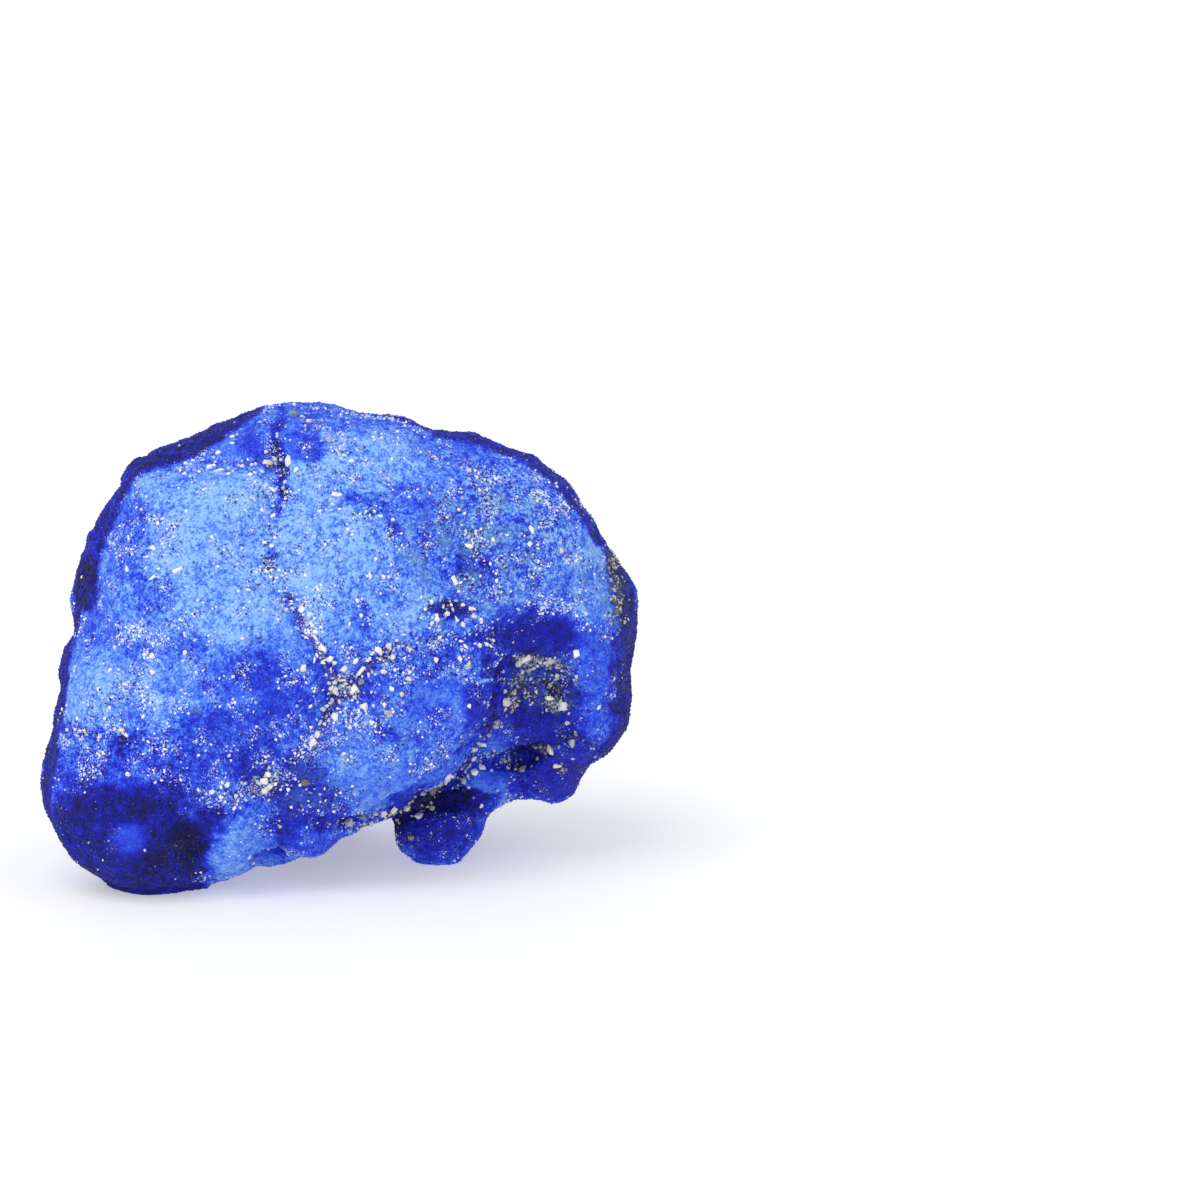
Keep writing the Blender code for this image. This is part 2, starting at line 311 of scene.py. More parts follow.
# Smooth places with few specks: middle, half width and height, and how smooth from 0 to 1.
CALM_PATCHES = {
    "foot": (120, 838, 100, 60, 0.45),
    "foot_eye": (128, 838, 26, 22, 1.0),
    "knob": (440, 832, 56, 36, 0.4),
    "lobe_middle": (498, 779, 30, 16, 0.9),
    "lobes": (572, 776, 44, 26, 0.6),
    "hollow_top": (545, 634, 48, 20, 0.7),
    "hollow_low": (560, 726, 44, 22, 0.5),
    "bead": (444, 706, 38, 30, 0.45),
    "belly": (384, 786, 66, 26, 0.5),
    "pale_top": (222, 502, 42, 28, 0.35),
    "pale_round": (318, 582, 30, 20, 0.3),
    "light_lobe": (246, 856, 34, 28, 0.4),
    "lip": (322, 846, 40, 16, 0.6),
    "crest_left": (232, 440, 34, 16, 0.5),
    "crack_side": (301, 446, 20, 20, 0.6),
    "right_ridge": (594, 660, 20, 56, 0.5),
    "middle": (266, 694, 44, 30, 0.4),
}
# A fully smooth place loses this share of its specks and keeps this share of its mottling.
CALM_SPECKS, CALM_ROUGHNESS = 0.9, 0.35
# Coarse places, whose crystals differ more: middle, half width and height, and how much more.
COARSE_PATCHES = {
    "dome_right": (500, 530, 86, 74, 0.75),
    "dome": (350, 540, 100, 90, 0.25),
    "upper_middle": (222, 560, 120, 90, 0.30),
    "shelf": (440, 650, 80, 34, 0.45),
    "left_low": (100, 740, 60, 30, 0.40),
}

# Where the sand is greyer and darker instead of cream: middle, half width and height, strength. This is
# partly the sand's own grey-green and partly painted shade in the hollow, under the overhang and on the
# lobes.
GREY_AND_SHADE_PATCHES = {
    "hollow": (540, 690, 52, 36, 0.55),
    "undercut_right": (488, 740, 34, 44, 0.5),
    "undercut": (420, 808, 80, 32, 0.5),
    "lobes": (552, 756, 60, 30, 1.0),
    "hollow_top": (440, 610, 34, 20, 0.6),
    "right_rim": (616, 600, 16, 60, 0.6),
    "dust_pit": (262, 786, 26, 22, 0.3),
}
# Sand on the back is greyer and darker too, partly painted shade.
BACK_GREY_AND_SHADE = 0.5

# Sand grains: grains in a square millimetre along the seams, by line and by patch. The crust is darker
# between them with painted shadow, by this share.
SAND_PAINTED_SHADOW, SHADED_SAND = 0.55, (0.5, 7.0)
# The back has a little sand, and this much more in its hollows, between these depths.
BACK_SAND, HOLLOW_SAND, SANDY_HOLLOW = 0.05, 5.0, (0.12, 0.3)
SAND_LINES = {
    "seam_top": (7.0, 5, ((289, 598), (305, 630), (320, 652))),
    "seam": (8.0, 7, ((320, 652), (345, 690))),
    "seam_right": (5.0, 7, ((345, 690), (383, 652), (402, 645))),
    "seam_far": (2.6, 8, ((402, 645), (440, 640), (520, 630))),
    "seam_low": (5.0, 7, ((345, 690), (326, 715), (318, 746))),
    "crack": (1.0, 5, ((276, 466), (282, 500), (280, 540))),
    "arm": (3.5, 5, ((205, 463), (245, 466), (262, 464))),
    "undercut": (4.0, 7, ((350, 826), (390, 816), (420, 806), (446, 784), (468, 768))),
    "undercut_right": (3.6, 6, ((468, 768), (480, 746), (500, 715), (512, 692))),
    "lobe_seam": (1.6, 6, ((490, 768), (520, 765), (548, 752), (575, 738))),
    "left_low": (1.2, 6, ((75, 728), (95, 735), (128, 736))),
    "right_rim": (7.0, 5, ((612, 558), (616, 590), (621, 618))),
}
SAND_PATCHES = {
    "seam_knot": (347, 690, 18, 13, 7.0),
    "crack_head": (272, 464, 12, 9, 5.0),
    "hollow_strip": (528, 661, 18, 9, 13.0),
    "hollow_strip_right": (554, 664, 14, 6, 13.0),
    "hollow_grey": (530, 684, 26, 18, 3.6),
    "hollow_right": (558, 706, 12, 9, 12.0),
    "hollow_left": (510, 702, 8, 12, 9.0),
    "dust_pit": (262, 786, 18, 16, 4.0),
    "lobe_top": (547, 750, 11, 6, 7.0),
    "lobe_far": (572, 740, 9, 6, 5.0),
    "lobe_low": (560, 768, 8, 5, 4.0),
    "dome_right": (490, 536, 84, 62, 0.45),
    "low_middle": (300, 790, 60, 30, 0.6),
}

# Large sand grains that the photograph shows one by one: pixels across and down, width and
# height, and shade in tenths, from grey at 0 to white at 8 and yellowish at 10.
LARGE_GRAINS = {
    "seam": (
        (293, 604, 5, 4, 7), (297, 611, 8, 6, 8), (304, 615, 6, 6, 5), (309, 628, 4, 5, 6),
        (305, 633, 4, 4, 8), (313, 634, 5, 6, 8), (314, 641, 9, 5, 5), (319, 650, 10, 6, 5),
        (321, 657, 6, 3, 7), (326, 661, 4, 6, 7), (331, 663, 6, 9, 7), (338, 665, 6, 4, 4),
        (318, 663, 7, 3, 6), (346, 672, 7, 6, 7), (358, 664, 8, 5, 5), (357, 682, 7, 6, 1),
        (363, 675, 12, 5, 8), (371, 663, 6, 4, 7), (341, 683, 8, 5, 6), (338, 690, 8, 7, 5),
        (350, 692, 13, 8, 8), (357, 694, 4, 5, 3), (305, 672, 9, 6, 4), (285, 681, 4, 3, 8),
    ),
    "seam_right": (
        (382, 652, 8, 11, 7), (374, 654, 6, 5, 7), (391, 648, 8, 9, 4), (397, 658, 6, 6, 6),
        (413, 646, 5, 5, 10), (405, 696, 5, 5, 11), (411, 683, 6, 7, 4), (394, 685, 6, 5, 8),
        (386, 671, 5, 6, 6), (399, 668, 4, 4, 7), (413, 673, 5, 4, 7), (362, 600, 5, 4, 8),
        (353, 626, 5, 3, 8), (363, 614, 4, 4, 6), (440, 618, 6, 5, 6), (451, 614, 6, 6, 4),
        (461, 619, 8, 6, 5), (466, 624, 6, 5, 5), (477, 617, 5, 5, 4), (441, 641, 5, 6, 8),
        (466, 643, 7, 4, 8), (480, 641, 6, 5, 5), (489, 642, 6, 6, 6), (496, 637, 5, 4, 7),
        (463, 658, 6, 5, 7), (441, 660, 5, 6, 7), (472, 667, 7, 6, 3), (473, 707, 5, 4, 8),
    ),
    "shelf": (
        (434, 605, 5, 4, 8), (445, 600, 5, 4, 2), (439, 613, 4, 4, 6), (447, 606, 5, 4, 6),
        (428, 612, 4, 4, 7), (455, 604, 4, 4, 7), (463, 608, 5, 4, 5), (470, 612, 5, 5, 7),
        (434, 621, 5, 5, 4), (478, 611, 5, 4, 6), (484, 622, 4, 4, 7), (456, 613, 5, 4, 3),
    ),
    "seam_low": (
        (325, 711, 6, 7, 3), (332, 719, 9, 8, 6), (322, 725, 5, 4, 5), (336, 703, 6, 5, 2),
        (318, 739, 8, 7, 5), (315, 745, 9, 8, 7), (368, 710, 10, 8, 4), (375, 727, 5, 4, 8),
        (387, 717, 9, 7, 2), (388, 705, 6, 5, 5), (350, 729, 4, 6, 6), (314, 709, 5, 3, 7),
    ),
    "crack": (
        (271, 465, 7, 13, 4), (266, 470, 5, 6, 4), (286, 459, 12, 8, 5), (295, 467, 6, 6, 8),
        (275, 456, 5, 5, 4), (282, 480, 5, 5, 5), (277, 490, 9, 4, 7), (264, 506, 5, 4, 8),
        (271, 512, 7, 4, 7), (264, 538, 5, 5, 8), (271, 542, 5, 4, 7), (275, 533, 4, 4, 4),
        (270, 566, 5, 4, 7), (280, 566, 4, 4, 8), (274, 435, 4, 5, 4), (262, 449, 4, 4, 5),
    ),
    "arm": (
        (208, 464, 7, 6, 8), (218, 467, 12, 7, 6), (226, 470, 6, 4, 5), (185, 460, 5, 5, 7),
        (182, 470, 5, 4, 7), (198, 468, 4, 4, 7), (233, 467, 4, 5, 7), (250, 471, 6, 4, 7),
        (215, 450, 6, 5, 7), (233, 432, 5, 4, 8), (231, 440, 5, 4, 8), (257, 470, 5, 4, 6),
    ),
    "dome": (
        (295, 410, 9, 7, 1), (310, 418, 7, 6, 6), (331, 436, 8, 7, 2), (335, 490, 12, 6, 6),
        (350, 457, 5, 4, 8), (470, 543, 8, 5, 6), (457, 577, 10, 6, 5), (535, 527, 9, 5, 5),
        (533, 543, 6, 5, 4), (472, 468, 6, 6, 4), (152, 544, 6, 6, 8), (155, 520, 5, 6, 7),
        (123, 570, 6, 6, 5), (382, 512, 5, 4, 8), (391, 516, 5, 4, 7), (388, 475, 5, 5, 3),
        (565, 549, 6, 6, 4), (461, 507, 5, 4, 10), (176, 567, 12, 4, 8), (150, 574, 9, 3, 8),
        (374, 573, 9, 3, 8), (384, 574, 6, 3, 8),
    ),
    "left_side": (
        (113, 643, 6, 4, 6), (119, 641, 5, 3, 6), (143, 653, 6, 5, 8), (148, 657, 6, 5, 7),
        (148, 671, 5, 6, 7), (140, 700, 5, 4, 6), (140, 717, 5, 4, 6), (182, 655, 4, 5, 7),
        (74, 721, 6, 4, 7), (80, 732, 4, 4, 11), (95, 734, 6, 3, 5), (117, 731, 5, 7, 11),
        (122, 735, 6, 4, 6), (195, 716, 5, 5, 0), (123, 774, 5, 5, 6), (183, 629, 6, 3, 8),
    ),
    "hollow": (
        (530, 661, 12, 9, 4), (521, 667, 8, 7, 3), (544, 662, 6, 5, 1), (552, 664, 12, 6, 3),
        (572, 657, 10, 10, 8), (555, 678, 7, 6, 3), (573, 679, 4, 4, 7), (510, 703, 9, 11, 3),
        (508, 694, 5, 5, 3), (540, 695, 5, 5, 4), (550, 703, 10, 5, 8), (560, 709, 9, 11, 6),
        (524, 680, 6, 6, 1), (532, 674, 6, 5, 2), (515, 712, 5, 5, 1),
    ),
    "undercut": (
        (500, 722, 6, 5, 2), (495, 731, 6, 5, 2), (488, 738, 5, 5, 2), (480, 747, 10, 7, 5),
        (475, 753, 6, 6, 4), (477, 760, 7, 6, 4), (472, 770, 8, 9, 7), (484, 765, 8, 7, 4),
        (460, 781, 7, 6, 3), (452, 779, 8, 7, 4), (447, 784, 8, 6, 3), (441, 789, 6, 6, 2),
        (435, 794, 12, 9, 1), (425, 797, 7, 6, 2), (417, 813, 10, 8, 5), (407, 812, 9, 8, 3),
        (432, 806, 6, 6, 2), (395, 815, 8, 6, 5), (386, 816, 8, 7, 4), (377, 818, 6, 5, 3),
        (353, 824, 11, 10, 3), (362, 820, 7, 6, 1), (408, 838, 7, 7, 1), (466, 775, 6, 5, 2),
    ),
    "lobes": (
        (547, 750, 14, 9, 3), (574, 739, 9, 7, 2), (566, 726, 6, 6, 3), (535, 757, 5, 5, 1),
        (521, 767, 10, 9, 1), (508, 764, 5, 4, 4), (560, 768, 9, 8, 5), (573, 763, 5, 4, 3),
        (602, 711, 6, 6, 5), (485, 807, 5, 4, 4),
    ),
    "right_edge": (
        (616, 600, 7, 9, 0), (619, 611, 7, 8, 0), (613, 586, 5, 7, 0), (612, 566, 5, 6, 1),
        (618, 622, 6, 6, 0),
    ),
    "dust_pit": (
        (265, 777, 7, 7, 7), (262, 785, 9, 8, 7), (269, 790, 8, 6, 6), (262, 794, 7, 6, 5),
        (276, 788, 5, 4, 8), (231, 786, 6, 5, 6), (238, 799, 6, 5, 6), (215, 795, 6, 5, 7),
        (222, 801, 5, 5, 5), (238, 809, 5, 5, 8), (308, 784, 9, 9, 0), (284, 828, 5, 6, 2),
    ),
}
# A large grain is the hull of this many corners, which lie between these shares of its radius.
GRAIN_CORNERS, CORNER_REACH = 16, (0.78, 1.0)
GRAIN_SEED = 7
# Its thickness as a share of its smaller width, and how much of that its middle stands out.
GRAIN_THICKNESS, GRAIN_RAISED = 0.75, 0.15
# The skin under it is looked for within this many pixels.
GRAIN_SEARCH = 5.0
# How fast a grain loses the grey cast as its shade grows.
GREY_LOSS = 2.5
# The corners cut a grain smaller than its radii, which this makes up for.
GRAIN_SCALE = 1.2

# Dark grains: grains in a square millimetre.
FRONT_DARK, BACK_DARK = 1.1, 0.8
DARK_PATCHES = {
    "crack_head": (283, 480, 10, 14, 22.0),
    "crack_middle": (274, 510, 7, 9, 26.0),
    "crack_low": (272, 548, 9, 24, 24.0),
    "arm": (250, 464, 16, 7, 12.0),
    # Dark grains in the gaps between sand grains: partly dark grains of their own, partly painted shadow in
    # the gaps.
    "seam_gap": (349, 681, 8, 7, 30.0),
    "branch_gap": (388, 657, 9, 7, 30.0),
    "below_gap": (394, 733, 10, 9, 22.0),
    "shelf_gap": (448, 610, 26, 9, 26.0),
    "hollow_grey": (536, 684, 26, 20, 9.0),
    "hollow_dark": (554, 691, 12, 12, 18.0),
    "spot_dome": (362, 506, 24, 12, 20.0),
    "spot_below": (388, 735, 22, 16, 8.0),
    "dome_right": (480, 540, 84, 70, 6.0),
    "low_middle": (300, 786, 70, 32, 5.0),
    "foot_brow": (112, 802, 50, 20, 8.0),
    "foot_shade": (172, 858, 36, 32, 10.0),
    "foot": (120, 830, 100, 62, 3.0),
    "left_rim": (82, 590, 10, 22, 6.0),
    "right_rim": (616, 590, 12, 44, 6.0),
    "lobes": (550, 758, 60, 20, 4.0),
}

# The grains themselves: how many for one unit of cover, smallest and largest, thickness for a
# width of one, tilt in radians, unevenness, and how much more often the small ones come.
CRYSTALS_PER_MM2 = 14.0
ANY_TILT = math.pi
# A grain is at least this wide for a length of one, and its unevenness has this many lumps in one.
NARROWEST_GRAIN, UNEVEN_SCALE = 0.4, 5.0
SEED_STEP = 10
GRAINS = {
    "crystals_fine": ("cover", CRYSTALS_PER_MM2, 0.08, 0.17, 0.7, 0.6, 0.02, 1.3),
    "crystals_coarse": ("cover", CRYSTALS_PER_MM2, 0.10, 0.24, 0.5, 0.5, 0.02, 2.2),
    "white_specks": ("specks", 4.6, 0.045, 0.26, 0.8, ANY_TILT, 0.06, 3.2),
    "sand_grains": ("sand", 3.0, 0.08, 0.28, 0.8, ANY_TILT, 0.20, 1.8),
    "dark_grains": ("dark", 2.4, 0.07, 0.20, 0.8, ANY_TILT, 0.10, 2.0),
}

# The stage

FLOOR_SIDE = 4000.0
# The floor is a white sheet lit from below, which keeps the shadows light.
FLOOR_GREY, FLOOR_CLOUDS = 0.66, 0.01
FLOOR_TINT = (1.0, 0.995, 0.975)
# It glows less in front of the stone than behind it, between these places along Y.
FLOOR_FRONT, FLOOR_BACK = -30.0, 40.0
FLOOR_GLOW_FRONT, FLOOR_GLOW_BACK = 0.335, 0.42
SKY_COLOUR, SKY_STRENGTH = (0.96, 0.98, 1.0, 1.0), 0.74
# Soft boxes: place, side in millimetres and power in watts. They face the nodule's middle.
SOFT_BOXES = {
    "soft_box_above": ((-350, -450, 1050), 800, 5.8),
    "soft_box_front": ((-250, -1150, 450), 700, 2.0),
}
LIT_MIDDLE = (0.0, 0.0, 11.0)
# The camera sees from this near to this far, in metres.
CLIP_START, CLIP_END = 0.01, 10.0


def srgb(red, green, blue):
    """A colour given in 0 to 255, as light."""
    shares = (channel / 255 for channel in (red, green, blue))
    light = [(c / 12.92 if c <= 0.04045 else ((c + 0.055) / 1.055) ** 2.4) for c in shares]
    return (*light, 1.0)


BLUES = (
    (0.00, srgb(12, 12, 62)),
    (0.12, srgb(16, 15, 116)),
    (0.28, srgb(20, 26, 170)),
    (0.46, srgb(30, 52, 212)),
    (0.62, srgb(54, 96, 234)),
    (0.80, srgb(94, 146, 245)),
    (1.00, srgb(148, 194, 250)),
)
WHITES = (
    (0.00, srgb(112, 150, 244)),
    (0.30, srgb(166, 194, 250)),
    (0.55, srgb(218, 228, 253)),
    (0.75, srgb(250, 250, 252)),
    (1.00, srgb(246, 240, 222)),
)
SANDS = (
    (0.00, srgb(140, 144, 146)),
    (0.14, srgb(186, 188, 184)),
    (0.36, srgb(224, 224, 218)),
    (0.88, srgb(248, 246, 238)),
    (1.00, srgb(230, 216, 164)),
)
DARKS = (
    (0.00, srgb(14, 14, 52)),
    (0.50, srgb(22, 22, 80)),
    (0.82, srgb(40, 44, 66)),
    (1.00, srgb(88, 92, 90)),
)
TEAL = srgb(84, 124, 158)
# Grey-green and darker: the sand's own grey, and painted shade.
GREY_AND_SHADE_TINT = srgb(176, 182, 172)
POWDER = srgb(158, 162, 156)
FLECK = srgb(214, 228, 255)
# Dark pinpricks among the specks: painted shade of small pits beside them.
PINPRICK_SHADE = srgb(20, 20, 70)

# Noise in the materials: size of its lumps in millimetres, and detail.
FINE_NOISE, MIDDLE_NOISE, PATCHY_NOISE = (0.13, 2.0), (0.34, 2.0), (1.0, 3.0)
CRYSTAL_NOISE, GRAIN_NOISE, FLOOR_NOISE = (0.8, 2.0), (0.15, 2.0), (60.0, 2.0)
FLECK_NOISE, PINPRICK_NOISE = (0.09, 1.0), (0.14, 1.0)
GRAINS_PER_MM = 5.0
# How strongly the tone follows each: single grains, then fine, middling and patchy noise.
CRUST_MOTTLES = (0.16, 0.74, 0.68, 0.45)
# The same for a crystal: its own chance, then patchy noise. And how much paler crystals are.
CRYSTAL_MOTTLES, CRYSTAL_LIGHTNESS = (0.44, 0.45), 0.04
GRAIN_CLOUDS = 0.35
# Ranges of a value and, where they aren't 0 to 1, the shares that they stand for.
TEAL_RANGE, TEAL_STRENGTH = (0.40, 0.65), 0.5
POWDERED_SAND, POWDER_RANGE = (2.0, 12.0, 0.0, 0.85), (0.42, 0.60)
FLECKED_SPECKS, FLECK_RANGE = (0.3, 9.0), (0.58, 0.68, 0.0, 0.8)
PRICKED_SPECKS, PINPRICK_RANGE = (0.3, 9.0, 0.25, 1.0), (0.40, 0.32, 0.0, 0.9)
CRUST_ROUGHNESS, CRYSTAL_ROUGHNESS = (0.3, 0.7, 0.55, 0.9), (0.0, 1.0, 0.75, 0.35)
SPECK_ROUGHNESS, GRAIN_ROUGHNESS, FLOOR_ROUGHNESS = 0.55, 0.5, 0.6
CRUST_SHINE, CRYSTAL_SHINE, GRAIN_SHINE, FLOOR_SHINE = 0.25, 0.35, 0.5, 0.2
BUMP_HEIGHT = 0.08


# Reading the surface

def read_points(mesh):
    points = np.empty(len(mesh.vertices) * 3)
    mesh.vertices.foreach_get("co", points)
    return points.reshape(-1, 3)


def read_normals(mesh):
    normals = np.empty(len(mesh.vertices) * 3)
    mesh.vertices.foreach_get("normal", normals)
    return normals.reshape(-1, 3)


def write_points(mesh, points):
    mesh.vertices.foreach_set("co", points.ravel())
    mesh.update()


def photo_places(points):
    """Where each point shows in the photograph, in pixels across and down."""
    from_camera = points - (VIEW_AIM - VIEW_FORWARD * VIEW_DISTANCE)
    depth = from_camera @ VIEW_FORWARD
    scale = PIXELS_PER_MM * VIEW_DISTANCE / depth
    across = PHOTO_SIDE / 2 + scale * from_camera[:, 0]
    down = PHOTO_SIDE / 2 - scale * (from_camera @ VIEW_UP)
    return np.stack([across, down], axis=1)


def fade(values, start, end):
    """From 0 at the start to 1 at the end, smoothly."""
    share = np.clip((values - start) / (end - start), 0.0, 1.0)
    return share * share * (3.0 - 2.0 * share)


def painted_share(normals):
    """1 where the photograph shows the surface, falling to 0 where it doesn't."""
    return fade(normals @ -VIEW_FORWARD, PAINT_ENDS, PAINT_IS_FULL)


def wave(points, length, seed=0):
    """Even unevenness of about -1 to 1 over the points, with lumps of this length."""
    shift = Vector((seed * 17.3, seed * 5.9, seed * 11.1))
    return np.array([noise.noise(Vector(point) / length + shift) for point in points])


def cells(points, size):
    """A domed cell round every point: 1 at the middle of a cell and 0 at its edge."""
    gaps = np.array([noise.voronoi(Vector(point) / size)[0][0] for point in points])
    return np.clip(1.0 - gaps * gaps, 0.0, 1.0)


def distance_to_route(places, route):
    nearest = np.full(len(places), np.inf)
    for start, end in zip(np.array(route[:-1], float), np.array(route[1:], float)):
        along = end - start
        share = np.clip((places - start) @ along / (along @ along), 0.0, 1.0)
        gap = np.linalg.norm(places - start - share[:, None] * along, axis=1)
        nearest = np.minimum(nearest, gap)
    return nearest


def patch_share(places, across, down, half_width, half_height):
    """1 well inside the patch, falling to 0 outside it."""
    reach = np.linalg.norm((places - (across, down)) / (half_width, half_height), axis=1)
    return 1.0 - fade(reach, PATCH_IS_FULL, PATCH_ENDS)


def line_share(places, half_width, route):
    return np.exp(-((distance_to_route(places, route) / half_width) ** 2))


def band_share(places, half_width, route):
    """1 on the band, falling to 0 at its edges."""
    return 1.0 - fade(distance_to_route(places, route) / half_width, BAND_IS_FULL, BAND_ENDS)


def wandering(points, places, reach):
    """The places with their edges made uneven, by this many pixels."""
    moves = [
        sum(share * wave(points, length, seed + turn) for turn, (length, share) in enumerate(WOBBLE_WAVES))
        for seed in WOBBLE_SEEDS
    ]
    return places + reach * np.stack(moves, axis=1)


# Shape of the skin

def merged_copy(node):
    """The solid's mesh in millimetres, with its triangles joined."""
    shape = bmesh.new()
    shape.from_mesh(node.data)
    bmesh.ops.scale(shape, vec=Vector.Fill(3, 1.0 / MM), verts=shape.verts)
    bmesh.ops.remove_doubles(shape, verts=shape.verts, dist=MERGE_DISTANCE)
    mesh = bpy.data.meshes.new("solid copy")
    shape.to_mesh(mesh)
    shape.free()
    return mesh


def baked(obj):
    """The object's finished form as a plain mesh. The object is removed."""
    graph = bpy.context.evaluated_depsgraph_get()
    mesh = bpy.data.meshes.new_from_object(obj.evaluated_get(graph), depsgraph=graph)
    bpy.data.objects.remove(obj)
    return mesh


def temporary(name, mesh):
    obj = bpy.data.objects.new(name, mesh)
    bpy.context.scene.collection.objects.link(obj)
    return obj


def fine_skin(node):
    """An even fine mesh over the solid, with its flat facets smoothed away."""
    skin = temporary("fine skin", merged_copy(node))
    cover = skin.modifiers.new("even mesh", "REMESH")
    cover.mode = "VOXEL"
    cover.voxel_size = SKIN_VOXEL
    smooth = skin.modifiers.new("no facets", "SMOOTH")
    smooth.factor = SKIN_SMOOTHING
    smooth.iterations = SKIN_SMOOTH_ROUNDS
    return baked(skin)


def groove_depth(places):
    depth = np.zeros(len(places))
    for deep, half_width, route in GROOVES.values():
        depth = np.maximum(depth, deep * line_share(places, half_width, route))
    return depth


def shape_skin(mesh):
    """Pulls the skin in a little and gives it the crust's unevenness and grooves."""
    points, normals = read_points(mesh), read_normals(mesh)
    places = photo_places(points)
    out = -SKIN_DEPTH + CRUST_CELL_HEIGHT * (cells(points, CRUST_CELL) - 0.5)
    for seed, (length, height) in enumerate(CRUST_WAVES):
        out += height * wave(points, length, seed + CRUST_SEED)
    relief = sum(height * patch_share(places, *patch) for *patch, height in BULGES.values())
    relief -= groove_depth(wandering(points, places, LINE_WOBBLE))
    out += relief * painted_share(normals)
    shaped = points + normals * out[:, None]
    shaped[:, 2] = np.maximum(shaped[:, 2], 0.0)
    resting = (points[:, 2] < FLOOR_REACH) & (normals[:, 2] < FLOOR_FACING)
    shaped[resting, 2] = 0.0
    write_points(mesh, shaped)


def hollow_depth(mesh):
    """How far each point lies below the smoothed surface, in millimetres."""
    points, normals = read_points(mesh), read_normals(mesh)
    ends = np.empty(len(mesh.edges) * 2, np.int32)
    mesh.edges.foreach_get("vertices", ends)
    first, second = ends[0::2], ends[1::2]
    count = np.bincount(ends, minlength=len(points))
    smooth = points.copy()
    for _ in range(HOLLOW_ROUNDS):
        total = [
            np.bincount(first, smooth[second, axis], len(points))
            + np.bincount(second, smooth[first, axis], len(points))
            for axis in range(3)
        ]
        smooth = (np.stack(total, axis=1) / count[:, None] + smooth) / 2
    return np.einsum("ij,ij->i", smooth - points, normals)


# Painting the skin

def blended(base, places, patches):
    for *patch, value in patches.values():
        base = base + (value - base) * patch_share(places, *patch)
    return base


def lined(base, places, lines, share_of, strength=1.0):
    for value, half_width, route in lines.values():
        share = share_of(places, half_width, route) * strength
        base = base + (value - base) * share
    return base


def raised(base, places, patches, lines=None):
    """The greatest of the base and what each patch and line brings."""
    for *patch, value in patches.values():
        base = np.maximum(base, value * patch_share(places, *patch))
    for value, half_width, route in (lines or {}).values():
        base = np.maximum(base, value * line_share(places, half_width, route))
    return base


def clusters(points):
    """How closely specks and dark grains lie at each point, for an even cover of 1."""
    gathered = CLUSTER_MEAN
    for turn, (height, length) in enumerate(CLUSTER_WAVES):
        gathered = gathered + height * wave(points, length, CLUSTER_SEED + turn)
    return np.clip(gathered, LEAST_CLUSTER, None) ** 2


def back_tone(points, normals, hollows):
    tone = np.full(len(points), BACK_TONE)
    for seed, (length, strength) in enumerate(BACK_TONE_WAVES):
        tone += strength * wave(points, length, seed + BACK_SEED)
    # Painted shade in the hollows.
    tone -= BACK_HOLLOW_SHADE * np.clip(hollows, *BACK_HOLLOW_RANGE)
    # Painted shade on the underside.
    return tone - UNDERSIDE_SHADE * fade(-normals[:, 2], *UNDERSIDE_TURN)


